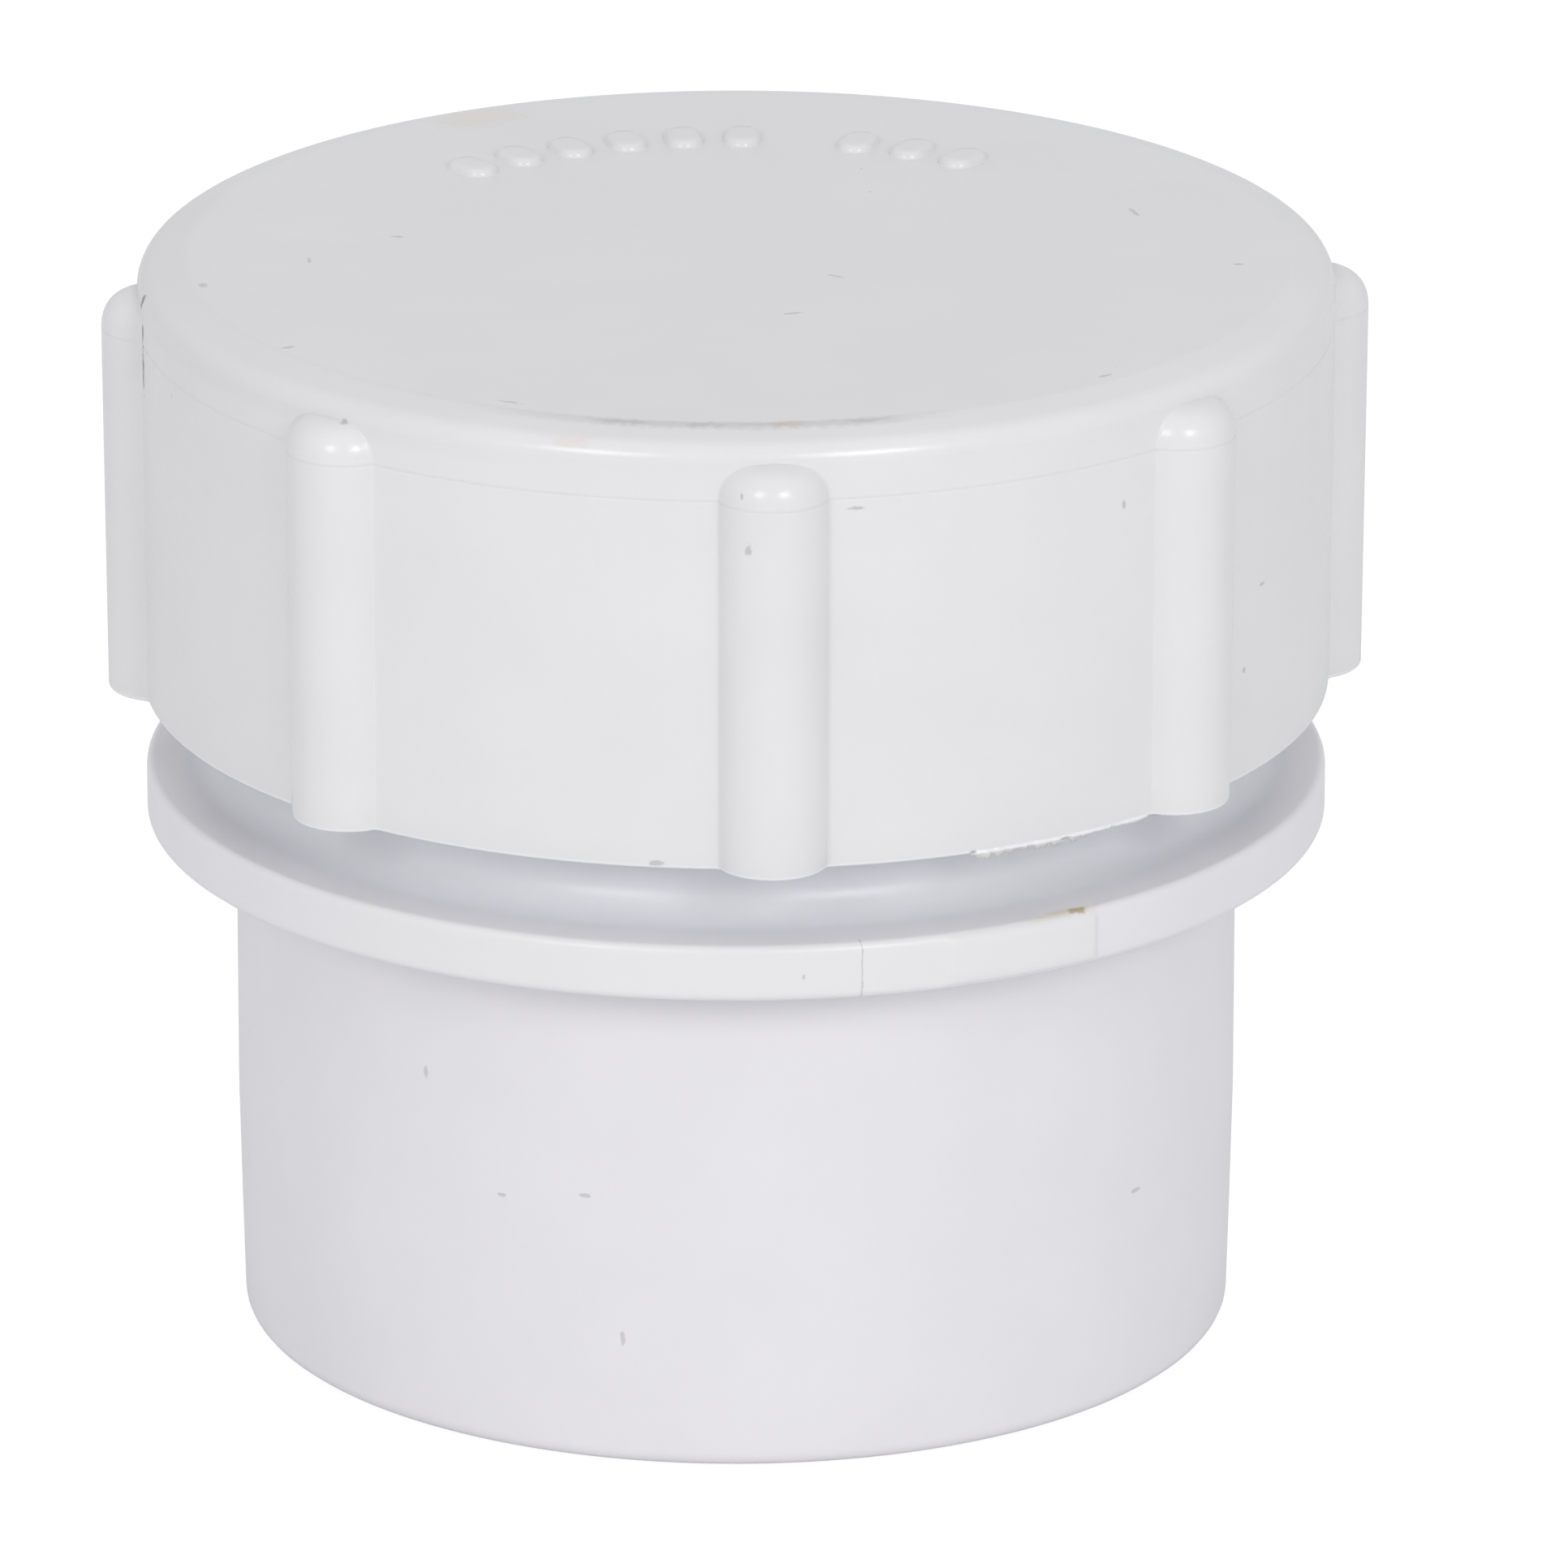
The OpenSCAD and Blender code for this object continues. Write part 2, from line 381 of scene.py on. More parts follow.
def cap_inside(surface, count):
    """Ceiling, threaded wall and mouth, with half as many points to a ring."""
    angles = CAP_THREAD_ANGLE + np.arange(count) * 360.0 / count
    corner = 0.4
    ceiling = [(r, CEILING_Z) for r in (2, 6, 12, 18, 21.5)]
    ceiling += arc(CAP_INNER_R - corner, CEILING_Z - corner, corner, 90, 0, 5)
    top = surface.lathe(ceiling, angles)
    surface.centre(top[0], [0, 0, CEILING_Z], upward=False)
    surface.bands(top)
    mouth = surface.lathe([(CAP_INNER_R, CAP_Z + 0.5), (CAP_INNER_R + 0.45, CAP_Z + 0.05)], angles)
    edge = surface.lathe([(CAP_INNER_R + 0.55, CAP_Z)], angles)
    surface.thread(mouth[0], top[-1], CAP_INNER_R, -1, CAP_THREAD_Z, angles)
    surface.bands(mouth + edge)
    return edge[0]


def nearest_shift(surface, coarse, fine):
    """How far to turn the coarse ring's list so that it starts beside the fine one."""
    start = np.array(surface.points[fine[0]][:2])
    away = [np.hypot(*(np.array(surface.points[v][:2]) / CAP_INNER_R * CAP_R - start)) for v in coarse]
    return int(np.argmin(away))


MARK_R = 16.6
MARK_LENGTH = 2.4
MARK_WIDTH = 1.6
MARK_STEP = 8.8
MARK_PLACES = (0, 1, 2, 3, 4, 5, 7, 8, 9)  # place 6 is the space
# Rows up a mark's edge: how far outside its outline, then height above the top
MARK_ROWS = [(0.1, -0.12), (0.08, -0.06), (0.02, -0.03), (-0.01, 0.05), (-0.05, 0.15),
             (-0.12, 0.23), (-0.24, 0.28), (-0.5, 0.29)]


def raised_bar(surface, angle):
    """One low bar with round ends and soft edges on the cap's top, pointing at its centre."""
    half_run = (MARK_LENGTH - MARK_WIDTH) / 2
    ends = np.radians(np.linspace(-90, 90, 13))
    turn = math.radians(angle)
    spin = np.array([[math.cos(turn), math.sin(turn)], [-math.sin(turn), math.cos(turn)]])
    rings = []
    for grown, rise in MARK_ROWS:
        r = MARK_WIDTH / 2 + grown
        outer = [(half_run + r * math.cos(t), r * math.sin(t)) for t in ends]
        inner = [(-half_run - r * math.cos(t), -r * math.sin(t)) for t in ends]
        flat = np.array(outer + inner) @ spin + MARK_R * np.array([math.cos(turn), math.sin(turn)])
        rings.append(surface.ring(np.column_stack([flat, np.full(len(flat), CAP_TOP_Z + rise)])))
    surface.bands(rings)
    surface.face(rings[0][::-1])
    surface.face(rings[-1])


def raised_marks(surface):
    """A row of six bars, a space and a row of three, near the back of the top."""
    middle = MARK_PLACES[-1] / 2
    for place in MARK_PLACES:
        raised_bar(surface, FRONT + 180 + (middle - place) * MARK_STEP)


def build_cap(material):
    surface = Surface()
    side = cap_side(surface)
    shoulder = cap_shoulder(surface, side[-1])
    edge = cap_inside(surface, len(side[0]) // 2)
    shift = nearest_shift(surface, edge, side[0])
    surface.halving_band(side[0], edge[shift:] + edge[:shift])
    surface.bands(side + shoulder)
    surface.centre(shoulder[-1], [0, 0, CAP_TOP_Z - TOP_DISH[-1][1]], upward=True)
    raised_marks(surface)
    return surface.build("cap_shell", material, "cap", "screw_cap")


FLASH_START = 19.2  # degrees from the front
FLASH_END = 39.5


def build_flash(material):
    """Ragged scrap of plastic left hanging from the cap's lower edge."""
    draw = np.random.default_rng(31)
    angles = np.linspace(FLASH_START, FLASH_END, 90)
    steps = np.arange(len(angles))
    hang = 0.13 + 0.08 * draw.standard_normal(30).repeat(3)
    hang += 0.07 * np.sin(steps / 6.0) + 0.035 * draw.standard_normal(len(steps))
    ends = smooth(steps / 4) * smooth((steps[-1] - steps) / 14)
    low = CAP_Z - 0.02 - np.clip(hang, 0.02, 0.3) * ends
    sway = 0.03 * np.sin(steps / 4.0) + 0.012 * draw.standard_normal(len(steps))
    surface = Surface()
    turn = np.radians(FRONT + angles)
    root_z = CAP_Z + EDGE_R
    sections = []
    for k, t in enumerate(turn):
        foot = CAP_R - 0.005
        tip = CAP_R - 0.06 + sway[k]
        corners = [(foot, root_z), (foot - 0.2, root_z), (tip - 0.08, low[k]), (tip, low[k])]
        sections.append(surface.ring([(r * math.cos(t), r * math.sin(t), z) for r, z in corners]))
    surface.bands(sections)
    surface.face(sections[0][::-1])
    surface.face(sections[-1])
    return surface.build("cap_flash", material, "cap")


# ---------------------------------------------------------------- body

GATE_ANGLE = FRONT + 25.0
GATE_WIDTH = 16.0
GATE_HEIGHT = 0.11
RIM_R = 0.35
NECK_FOOT_R = 1.7


def body_angles():
    """Even steps with a few more at the sides of the moulding gate."""
    even = np.arange(0, 360, 1.5)
    near = [side * GATE_WIDTH / 2 + d for side in (-1, 1) for d in (-0.45, -0.15, 0.15, 0.45)]
    return np.unique(np.round(np.concatenate([even, (GATE_ANGLE + np.array(near)) % 360]), 3))


def gate_bulge(angles, z):
    """How far the rim stands out at the moulding gate."""
    away = np.abs((angles - GATE_ANGLE + 180) % 360 - 180)
    across = smooth((GATE_WIDTH / 2 + 0.3 - away) / 0.6)
    up = smooth((1.15 - abs(z - FLANGE_MIDDLE_Z)) / 0.3)
    return GATE_HEIGHT * across * up


def body_outside(surface, angles):
    """Rings from the lower end up to the flange's rim and in to the foot of the neck."""
    edge = 0.7
    corner = 0.25
    profile = [(BORE_R + corner, 0.0)]
    profile += arc(END_R - edge, edge, edge, -90, 0, 7)
    profile += [(END_R + 0.11, TAPER_Z / 2), (SPIGOT_R - 0.01, TAPER_Z - 0.4), (SPIGOT_R, TAPER_Z + 0.6)]
    profile += [(SPIGOT_R, z) for z in (13.0, 16.0, 19.0)]
    profile += arc(SPIGOT_R + corner, FLANGE_LOW_Z - corner, corner, 180, 90, 4)
    profile += arc(FLANGE_R - RIM_R, FLANGE_LOW_Z + RIM_R, RIM_R, -90, 0, 7)
    profile += [(FLANGE_R, FLANGE_MIDDLE_Z + d) for d in (-0.6, -0.2, 0.2, 0.6)]
    profile += arc(FLANGE_R - RIM_R, FLANGE_Z - RIM_R, RIM_R, 0, 90, 7)
    profile += arc(NECK_R + NECK_FOOT_R, FLANGE_Z + NECK_FOOT_R, NECK_FOOT_R, 270, 180, 9)
    rings = []
    for r, z in profile:
        bulge = gate_bulge(angles, z) if r > FLANGE_R - 0.3 else 0.0
        rings.append(surface.ring(circle(r + bulge, z, angles)))
    return rings


def build_body(material):
    surface = Surface()
    angles = body_angles()
    outside = body_outside(surface, angles)
    edge = 0.4
    lip = 0.2
    corner = 0.25
    profile = arc(NECK_R - edge, NECK_TOP_Z - edge, edge, 0, 90, 5)
    profile += arc(BORE_R + lip, NECK_TOP_Z - lip, lip, 90, 180, 4)
    profile += [(BORE_R, z) for z in (36.0, 28.0, 20.0, 12.0, 4.0)]
    profile += arc(BORE_R + corner, corner, corner, 180, 270, 4)[:-1]
    inside = surface.lathe(profile, angles)
    surface.bands(outside)
    surface.thread(outside[-1], inside[0], NECK_R, 1, NECK_THREAD_Z, angles)
    surface.bands(inside)
    surface.band(inside[-1], outside[0])
    return surface.build("body_shell", material, "body", "spigot_body")


# ---------------------------------------------------------------- washer

WASHER_HOLE_R = 18.5


def build_washer(material):
    surface = Surface()
    outer = washer_high[0]
    inner = WASHER_HOLE_R
    edge = 0.18
    low, high = NECK_TOP_Z, CEILING_Z
    profile = arc(outer - edge, low + edge, edge, -90, 0, 5)
    profile += arc(outer - edge, high - edge, edge, 0, 90, 5)
    profile += [((outer + inner) / 2, high)]
    profile += arc(inner + edge, high - edge, edge, 90, 180, 5)
    profile += arc(inner + edge, low + edge, edge, 180, 270, 5)
    profile += [((outer + inner) / 2, low)]
    rings = surface.lathe(profile, np.arange(0, 360, 2.0))
    surface.bands(rings)
    surface.band(rings[-1], rings[0])
    return surface.build("washer_ring", material, "washer", "sealing_washer")


# ---------------------------------------------------------------- materials

def new_material(name):
    material = bpy.data.materials.new(name)
    material.use_nodes = True
    tree = material.node_tree
    return material, tree, tree.nodes["Principled BSDF"]


def noise(tree, scale, detail):
    """Noise in the object's own coordinates, at a scale in cells a metre."""
    place = tree.nodes.new("ShaderNodeTexCoord")
    texture = tree.nodes.new("ShaderNodeTexNoise")
    texture.inputs["Scale"].default_value = scale
    texture.inputs["Detail"].default_value = detail
    tree.links.new(place.outputs["Object"], texture.inputs["Vector"])
    return texture.outputs["Fac"]


def ramp(tree, factor, stops, interpolation="LINEAR"):
    """Colour ramp from (position, colour) stops."""
    node = tree.nodes.new("ShaderNodeValToRGB")
    node.color_ramp.interpolation = interpolation
    elements = node.color_ramp.elements
    while len(elements) < len(stops):
        elements.new(0.5)
    for element, (position, colour) in zip(elements, stops):
        element.position = position
        element.color = (*colour, 1)
    tree.links.new(factor, node.inputs["Fac"])
    return node.outputs["Color"]


def bump(tree, height, distance, strength, below=None):
    node = tree.nodes.new("ShaderNodeBump")
    node.inputs["Distance"].default_value = distance
    node.inputs["Strength"].default_value = strength
    tree.links.new(height, node.inputs["Height"])
    if below:
        tree.links.new(below, node.inputs["Normal"])
    return node.outputs["Normal"]


def combine(tree, operation, first, second):
    """A Math node on sockets or plain numbers."""
    node = tree.nodes.new("ShaderNodeMath")
    node.operation = operation
    for socket, value in zip(node.inputs, (first, second)):
        if isinstance(value, (int, float)):
            socket.default_value = value
        else:
            tree.links.new(value, socket)
    return node.outputs["Value"]


def fade(tree, value, full, none):
    """1 up to the value called full, then down to 0 at none."""
    node = tree.nodes.new("ShaderNodeMapRange")
    node.interpolation_type = "SMOOTHSTEP"
    node.inputs["From Min"].default_value = full
    node.inputs["From Max"].default_value = none
    node.inputs["To Min"].default_value = 1
    node.inputs["To Max"].default_value = 0
    tree.links.new(value, node.inputs["Value"])
    return node.outputs["Result"]


def near(tree, value, middle, reach, soft):
    """1 within reach of a middle value, with a soft edge."""
    off = combine(tree, "ABSOLUTE", combine(tree, "SUBTRACT", value, middle), 0)
    return fade(tree, off, reach, reach + soft)


def both(tree, *masks):
    product = masks[0]
    for mask in masks[1:]:
        product = combine(tree, "MULTIPLY", product, mask)
    return product


def polar(tree):
    """Angle from the front in degrees, distance from the axis and height in millimetres."""
    place = tree.nodes.new("ShaderNodeTexCoord").outputs["Object"]
    split = tree.nodes.new("ShaderNodeSeparateXYZ")
    tree.links.new(place, split.inputs["Vector"])
    x, y, z = (combine(tree, "MULTIPLY", split.outputs[axis], 1 / MM) for axis in "XYZ")
    turn = combine(tree, "ARCTAN2", x, combine(tree, "MULTIPLY", y, -1))
    squares = combine(tree, "ADD", combine(tree, "POWER", x, 2), combine(tree, "POWER", y, 2))
    return combine(tree, "MULTIPLY", turn, math.degrees(1)), combine(tree, "SQRT", squares, 0), z


def blot(tree, uneven, angle, radius, z, size, soft=0.35):
    """Mask of a small mark. Size is its reach outwards, around and up, in millimetres."""
    turn = math.radians(FRONT + angle)
    mapping = tree.nodes.new("ShaderNodeMapping")
    mapping.vector_type = "TEXTURE"
    mapping.inputs["Location"].default_value = [
        radius * math.cos(turn) * MM, radius * math.sin(turn) * MM, z * MM]
    mapping.inputs["Rotation"].default_value = [0, 0, turn]
    mapping.inputs["Scale"].default_value = [reach * MM for reach in size]
    length = tree.nodes.new("ShaderNodeVectorMath")
    length.operation = "LENGTH"
    place = tree.nodes.new("ShaderNodeTexCoord")
    tree.links.new(place.outputs["Object"], mapping.inputs["Vector"])
    tree.links.new(mapping.outputs["Vector"], length.inputs[0])
    return fade(tree, combine(tree, "ADD", length.outputs["Value"], uneven), 1 - soft, 1 + soft)


def tint(tree, below, mask, colour, share):
    """Colours a surface by a share where the mask is 1."""
    mix_a, mix_b, mixed = 6, 7, 2
    node = tree.nodes.new("ShaderNodeMix")
    node.data_type = "RGBA"
    node.inputs[mix_b].default_value = (*colour, 1)
    tree.links.new(combine(tree, "MULTIPLY", mask, share), node.inputs[0])
    tree.links.new(below, node.inputs[mix_a])
    return node.outputs[mixed]


def specks(tree, cells, share):
    """A few tiny dots scattered over the surface, in cells a metre."""
    place = tree.nodes.new("ShaderNodeTexCoord")
    dots = tree.nodes.new("ShaderNodeTexVoronoi")
    dots.inputs["Scale"].default_value = cells
    tree.links.new(place.outputs["Object"], dots.inputs["Vector"])
    split = tree.nodes.new("ShaderNodeSeparateColor")
    tree.links.new(dots.outputs["Color"], split.inputs["Color"])
    chosen = fade(tree, split.outputs["Red"], share, share + 0.02)
    return both(tree, fade(tree, dots.outputs["Distance"], 0.012, 0.035), chosen)


CLOUD_DEPTH = 0.975  # how dark the plastic's clouding gets
GLOSS_SPREAD = 0.03
SPECK_CELLS = 330
SPECK_SHARE = 0.12


def moulded_plastic(name, colour, roughness, marks):
    """Satin white plastic with faint clouding, fine mould grain, specks and its own marks."""
    material, tree, shader = new_material(name)
    shader.inputs["IOR"].default_value = 1.5
    shade = tuple(c * CLOUD_DEPTH for c in colour)
    cloud = ramp(tree, noise(tree, 160, 2), [(0.25, shade), (0.75, colour)], "EASE")
    uneven = combine(tree, "SUBTRACT", noise(tree, 2600, 3), 0.5)
    painted = tint(tree, cloud, specks(tree, SPECK_CELLS, SPECK_SHARE), SPECK, 0.4)
    painted = marks(tree, painted, combine(tree, "MULTIPLY", uneven, 2.2))
    tree.links.new(painted, shader.inputs["Base Color"])
    gloss = tree.nodes.new("ShaderNodeMapRange")
    gloss.inputs["To Min"].default_value = roughness - GLOSS_SPREAD
    gloss.inputs["To Max"].default_value = roughness + GLOSS_SPREAD
    tree.links.new(noise(tree, 700, 3), gloss.inputs["Value"])
    tree.links.new(gloss.outputs["Result"], shader.inputs["Roughness"])
    waves = bump(tree, noise(tree, 110, 2), 0.0002, 0.1)
    grain = bump(tree, noise(tree, 5200, 2), 0.00002, 0.25, waves)
    tree.links.new(grain, shader.inputs["Normal"])
    return material


# Colours of the marks
SPECK = (0.25, 0.24, 0.24)
DIRT_AND_SHADOW = (0.2, 0.18, 0.18)
SCUFF = (0.33, 0.31, 0.31)
GRIME_AND_SHADE = (0.06, 0.05, 0.05)
HAZE_AND_SHADE = (0.66, 0.64, 0.645)
RUST = (0.68, 0.42, 0.2)
STAIN = (0.78, 0.68, 0.55)
BLUSH = (0.8, 0.62, 0.56)
PAINTED_LIP_HIGHLIGHT = (0.93, 0.93, 0.94)
FLASH_DULL = (0.7, 0.68, 0.66)
FLASH_DARK_PATCHES = (0.5, 0.46, 0.42)
RECESS_SHADE_TINT = (0.835, 0.843, 0.877)
PALE_RIM = (0.82, 0.812, 0.812)
HALO = (0.66, 0.58, 0.34)
SCORCH = (0.4, 0.28, 0.08)

CREASE_R = FLAT_R + 0.05  # middle of the dirt line round the top

# Angle from the front, distance from the axis, then the mark's reach outwards and around
TOP_SCUFFS = [
    (-27.8, 22.6, 0.12, 0.5), (-58.3, 22.8, 0.3, 0.12), (-90.5, 18.1, 0.08, 0.4),
    (-103.3, 14.6, 0.3, 0.1), (12.2, 8.6, 0.1, 0.4), (50.8, 5.2, 0.35, 0.09),
    (38.3, 22.9, 0.1, 0.35), (82.3, 21.3, 0.25, 0.12), (106, 18.0, 0.09, 0.6),
    (-81.9, 22.9, 0.2, 0.3),
]
# Angle from the front, distance from the axis, height, then the reach around and up
SIDE_SCUFFS = [
    (7.7, 25.35, 43.8, 0.32, 0.08), (35.8, 25.3, 42.2, 0.1, 0.2), (-2.4, 26.9, 42.6, 0.14, 0.3),
    (56.9, 25.3, 36.4, 0.2, 0.08), (-10.9, 25.2, 28.4, 0.35, 0.1), (-3.0, 26.6, 44.8, 0.07, 0.16),
    (-43.1, 25.6, 45.85, 0.15, 0.1), (53.6, 25.3, 33.0, 0.12, 0.12),
]
BODY_SCUFFS = [
    (-41, 21.4, 16.2, 0.1, 0.25), (-31, 21.4, 11.5, 0.22, 0.07), (-20.8, 21.4, 12.0, 0.25, 0.08),
    (-16.4, 21.3, 5.7, 0.1, 0.3), (48.9, 21.4, 9.5, 0.3, 0.08), (2.9, 25.2, 23.4, 0.07, 0.12),
]
# Dark marks in the corners of the side ribs, partly grime and partly painted shade: angle from the
# front, height, reach up
RIB_GRIME_AND_SHADE = [(-84.6, 46.0, 0.35), (-84.0, 44.9, 0.4), (-84.0, 43.3, 0.9), (84.2, 45.2, 0.6)]
# Painted shadow specks on the lower edge by the flash: angle from the front, height above the edge,
# reach around
FLASH_SHADOW_SPECKS = [(FLASH_START + 0.2, 0.12, 0.12), (29.3, 0.0, 0.2)]


def blots(tree, painted, uneven, places, colour, share, soft=0.35):
    """Tints with several small marks, each (angle, radius, z, size)."""
    for angle, radius, z, size in places:
        mask = blot(tree, uneven, angle, radius, z, size, soft)
        painted = tint(tree, painted, mask, colour, share)
    return painted


def side_blots(tree, painted, uneven, scuffs, share):
    """Scuffs on upright walls."""
    places = [(angle, r, z, (0.5, around, up)) for angle, r, z, around, up in scuffs]
    return blots(tree, painted, uneven, places, SCUFF, share)


def crease_dirt_and_haze_shade(tree, painted, uneven, patchy, angle, radius, z):
    """A dirt line in the crease round the top, darkest at the front, and a grey haze over the shoulder
    at the left that is partly soiling and partly painted shade.
    """
    top = near(tree, z, CAP_TOP_Z, 0.25, 0.2)
    off_line = combine(tree, "ADD", radius, combine(tree, "MULTIPLY", uneven, 0.2))
    crease = both(tree, top, near(tree, off_line, CREASE_R, 0.1, 0.4))
    core = both(tree, top, near(tree, off_line, CREASE_R, 0.05, 0.15))
    front = near(tree, angle, -2.5, 13, 4)
    # The haze dims the left shoulder: partly soiling, partly painted shade.
    margin = both(tree, near(tree, radius, 24.4, 0.9, 0.5), near(tree, z, CAP_TOP_Z - 0.6, 0.9, 0.5))
    haze_and_shade = both(tree, margin, near(tree, angle, -70, 30, 25))
    painted = tint(tree, painted, haze_and_shade, HAZE_AND_SHADE, 0.16)
    painted = tint(tree, painted, both(tree, crease, near(tree, angle, -6, 14, 14)), SCUFF, 0.18)
    painted = tint(tree, painted, both(tree, crease, front), DIRT_AND_SHADOW, 0.1)
    return tint(tree, painted, both(tree, core, front, patchy), DIRT_AND_SHADOW, 0.17)


def stains(tree, painted, uneven):
    """A rust spot in the crease, a yellowed patch behind it and a pink one on the shoulder."""
    rust = blot(tree, uneven, 2.0, 23.5, CAP_TOP_Z, (0.28, 0.6, 0.5), 0.6)
    stain = blot(tree, uneven, -154, 22.6, CAP_TOP_Z, (1.0, 1.8, 0.6), 0.8)
    blush = blot(tree, uneven, -19, 24.95, CAP_TOP_Z - 0.6, (0.3, 0.7, 0.25), 0.8)
    painted = tint(tree, painted, rust, RUST, 0.27)
    painted = tint(tree, painted, stain, STAIN, 0.4)
    return tint(tree, painted, blush, BLUSH, 0.35)


def lower_edge(tree, painted, patchy, angle, z):
    """A painted highlight along the cap's lower edge, and the dull flash under it."""
    # Painted highlight: a pale band along the cap's lower edge.
    lip = near(tree, z, CAP_Z + 0.08, 0.07, 0.06)
    flash = both(tree, near(tree, z, CAP_Z - 0.2, 0.18, 0.05), near(tree, angle, 29, 10, 2))
    painted = tint(tree, painted, lip, PAINTED_LIP_HIGHLIGHT, 0.8)
    # Patchy darkening over the flash.
    painted = tint(tree, painted, both(tree, flash, patchy), FLASH_DARK_PATCHES, 0.5)
    return tint(tree, painted, flash, FLASH_DULL, 0.35)


def cap_marks(tree, painted, uneven):
    """Dirt in the crease round the top, scuffs, and dark marks where the side ribs meet the wall, partly
    grime and partly painted shade.
    """
    angle, radius, z = polar(tree)
    patchy = fade(tree, noise(tree, 480, 2), 0.45, 0.6)
    painted = crease_dirt_and_haze_shade(tree, painted, uneven, patchy, angle, radius, z)
    painted = stains(tree, painted, uneven)
    painted = lower_edge(tree, painted, patchy, angle, z)
    on_top = [(where, r, CAP_TOP_Z, (out, around, 0.4)) for where, r, out, around in TOP_SCUFFS]
    painted = blots(tree, painted, uneven, on_top, SCUFF, 0.4)
    painted = side_blots(tree, painted, uneven, SIDE_SCUFFS, 0.45)
    # Painted shade with grime in the corners where the side ribs meet the wall.
    corners = [(where, CAP_R, height, (0.5, 0.24, up)) for where, height, up in RIB_GRIME_AND_SHADE]
    painted = blots(tree, painted, uneven, corners, GRIME_AND_SHADE, 0.75)
    # Painted shadows: dark specks on the lower edge by the flash.
    shadow_specks = [(where, CAP_R, CAP_Z + up, (0.4, around, 0.07)) for where, up, around in FLASH_SHADOW_SPECKS]
    return blots(tree, painted, uneven, shadow_specks, DIRT_AND_SHADOW, 0.6, 0.6)


def body_marks(tree, painted, uneven):
    """Painted bluish shade in the gap under the cap, a lighter gate pad with a scorched spot, a hairline
    across the rim and small scuffs.
    """
    angle, radius, z = polar(tree)
    outside = fade(tree, near(tree, radius, 0, 24.6, 0.3), 0, 1)
    rim = both(tree, near(tree, z, FLANGE_MIDDLE_Z, 1.3, 0.2), outside)
    # Painted shade: a bluish tint on the flange top, neck and bore in the gap under the cap.
    recess_shade = near(tree, z, NECK_TOP_Z, NECK_TOP_Z - FLANGE_Z - 0.1, 0.2)
    recess_shade = both(tree, recess_shade, near(tree, radius, 0, 23.0, 1.8))
    painted = tint(tree, painted, recess_shade, RECESS_SHADE_TINT, 1.0)
    gate_end = GATE_ANGLE - FRONT + GATE_WIDTH / 2 + 0.2
    from_left = fade(tree, combine(tree, "MULTIPLY", angle, -1), 30, 75)
    pale = both(tree, rim, from_left, fade(tree, angle, gate_end, gate_end + 0.4))
    painted = tint(tree, painted, pale, PALE_RIM, 0.85)
    wavy = combine(tree, "ADD", angle, combine(tree, "MULTIPLY", uneven, 0.35))
    hairline = both(tree, rim, near(tree, wavy, 8.45, 0.02, 0.13))
    painted = tint(tree, painted, hairline, SCUFF, 0.35)
    scorch = blot(tree, uneven, 31.2, 25.0, FLANGE_Z, (0.25, 0.35, 0.14), 0.5)
    halo = blot(tree, uneven, 29.6, 24.9, FLANGE_Z, (0.25, 1.2, 0.2), 0.7)
    painted = tint(tree, painted, halo, HALO, 0.4)
    painted = tint(tree, painted, scorch, SCORCH, 0.65)
    return side_blots(tree, painted, uneven, BODY_SCUFFS, 0.4)


def rubber(name):
    material, tree, shader = new_material(name)
    cloud = ramp(tree, noise(tree, 900, 4), [(0.3, (0.012, 0.012, 0.013)), (0.7, (0.022, 0.022, 0.024))])
    tree.links.new(cloud, shader.inputs["Base Color"])
    shader.inputs["Roughness"].default_value = 0.72
    tree.links.new(bump(tree, noise(tree, 3000, 3), 0.00006, 0.5), shader.inputs["Normal"])
    return material


# ---------------------------------------------------------------- stage

LOOK_AT_Z = 0.023  # the lights and the camera aim at this height on the axis, in metres
CAMERA_AZIMUTH = -3.5
CAMERA_ELEVATION = 19.137
CAMERA_DISTANCE = 0.74192
CAMERA_LENS = 397.67
SHIFT_X = 0.03056
SHIFT_Y = 0.0025
FLOOR_RADII = (1500, 900, 400, 120, 40)
FLOOR_DROP = 0.00002  # metres below the object, so that the two don't share a plane
WHITE_STRENGTH = 1.07


def direction(azimuth, elevation):
    """Unit vector away from the object; azimuth 0 is the front."""
    a, e = math.radians(azimuth), math.radians(elevation)
    return np.array([math.sin(a) * math.cos(e), -math.cos(a) * math.cos(e), math.sin(e)])


def aim(thing, away, distance):
    """Puts a light or camera at a distance in a direction, looking back at the object."""
    thing.location = [0, 0, LOOK_AT_Z] + away * distance
    thing.rotation_mode = "QUATERNION"
    thing.rotation_quaternion = Vector(away.tolist()).to_track_quat("Z", "Y")
    bpy.context.scene.collection.objects.link(thing)


def pale_floor():
    """A wide pale sweep that reads white and throws soft light back up."""
    surface = Surface()
    angles = np.arange(0, 360, 5.0)
    rings = surface.lathe([(r, 0) for r in FLOOR_RADII], angles)
    surface.bands(rings)
    surface.centre(rings[-1], [0, 0, 0], upward=True)
    mesh = bpy.data.meshes.new("floor")
    mesh.from_pydata((np.array(surface.points) * MM - [0, 0, FLOOR_DROP]).tolist(), [], surface.faces)
    floor = bpy.data.objects.new("floor", mesh)
    bpy.context.scene.collection.objects.link(floor)
    material, tree, shader = new_material("floor_white")
    shader.inputs["Roughness"].default_value = 0.9
    shader.inputs["Specular IOR Level"].default_value = 0.1
    paper = ramp(tree, noise(tree, 30, 3), [(0.3, (0.86, 0.86, 0.865)), (0.7, (0.88, 0.88, 0.885))])
    tree.links.new(paper, shader.inputs["Base Color"])
    seen_white(tree, shader.outputs["BSDF"], tree.nodes["Material Output"], 0.87)
    mesh.materials.append(material)


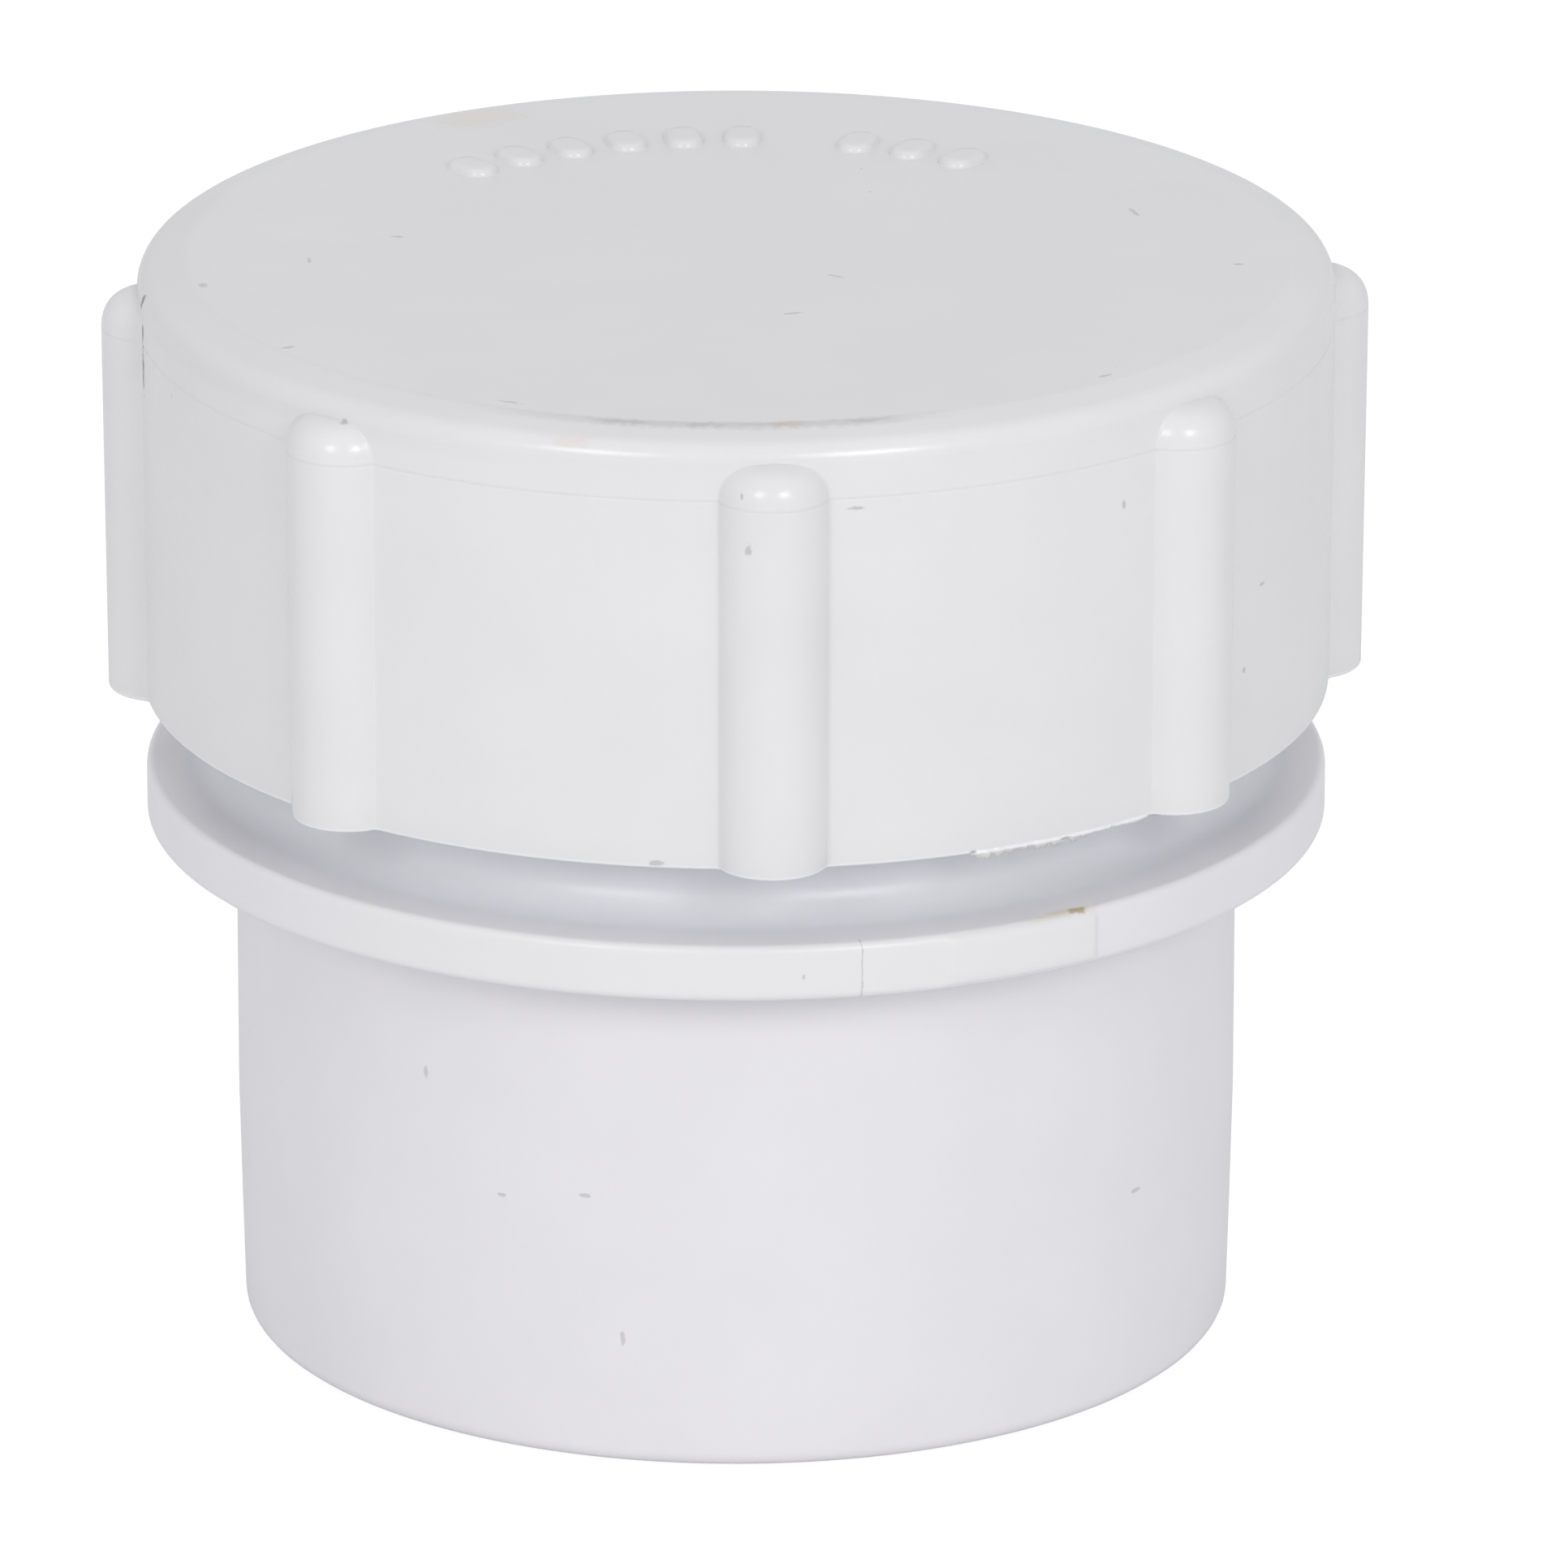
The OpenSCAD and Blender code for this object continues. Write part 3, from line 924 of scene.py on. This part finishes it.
def seen_white(tree, shader, output, share):
    """Lets the camera see a stage surface as mostly white, while it lights the object as it is."""
    path = tree.nodes.new("ShaderNodeLightPath")
    scale = tree.nodes.new("ShaderNodeMath")
    scale.operation = "MULTIPLY"
    scale.inputs[1].default_value = share
    white = tree.nodes.new("ShaderNodeEmission")
    white.inputs["Strength"].default_value = WHITE_STRENGTH
    mix = tree.nodes.new("ShaderNodeMixShader")
    tree.links.new(path.outputs["Is Camera Ray"], scale.inputs[0])
    tree.links.new(scale.outputs["Value"], mix.inputs["Fac"])
    tree.links.new(shader, mix.inputs[1])
    tree.links.new(white.outputs["Emission"], mix.inputs[2])
    tree.links.new(mix.outputs["Shader"], output.inputs["Surface"])


def area_light(name, azimuth, elevation, distance, size, power, colour=(1, 1, 1)):
    """A square soft light aimed at the middle of the object."""
    data = bpy.data.lights.new(name, "AREA")
    data.shape = "SQUARE"
    data.size = size
    data.energy = power
    data.color = colour
    light = bpy.data.objects.new(name, data)
    aim(light, direction(azimuth, elevation), distance)
    return light


def studio():
    """Two overhead panels, two frontal ones, two behind and a pale sky."""
    area_light("overhead_left", -45, 66, 0.7, 0.5, 0.156)
    area_light("overhead_right", 52, 66, 0.7, 0.5, 0.12)
    area_light("rear_left", -158, 18, 0.9, 0.3, 0.45).visible_glossy = False
    area_light("rear_right", 158, 18, 0.9, 0.3, 0.45).visible_glossy = False
    area_light("front_left", -31, 26, 0.9, 0.24, 1.14, (1, 0.99, 0.975))
    area_light("front_right", 22, 26, 0.9, 0.24, 1.52)
    world = bpy.data.worlds.new("sky")
    world.use_nodes = True
    sky = world.node_tree
    background = sky.nodes["Background"]
    background.inputs["Color"].default_value = (0.95, 0.965, 1.0, 1)
    background.inputs["Strength"].default_value = 0.667
    seen_white(sky, background.outputs["Background"], sky.nodes["World Output"], 1.0)
    bpy.context.scene.world = world
    bpy.context.scene.view_settings.view_transform = "Standard"


def camera():
    """Camera at the photo's viewing angle and distance."""
    data = bpy.data.cameras.new("camera")
    data.lens = CAMERA_LENS
    data.sensor_width = 36
    data.shift_x = SHIFT_X
    data.shift_y = SHIFT_Y
    data.clip_start = 0.05
    data.clip_end = 10
    eye = bpy.data.objects.new("camera", data)
    aim(eye, direction(CAMERA_AZIMUTH, CAMERA_ELEVATION), CAMERA_DISTANCE)
    bpy.context.scene.camera = eye


cap_white = moulded_plastic("cap_white", (0.812, 0.80, 0.797), 0.235, cap_marks)
body_white = moulded_plastic("body_white", (0.836, 0.818, 0.84), 0.32, body_marks)
build_cap(cap_white)
build_flash(cap_white)
build_body(body_white)
build_washer(rubber("washer_black"))
pale_floor()
studio()
camera()
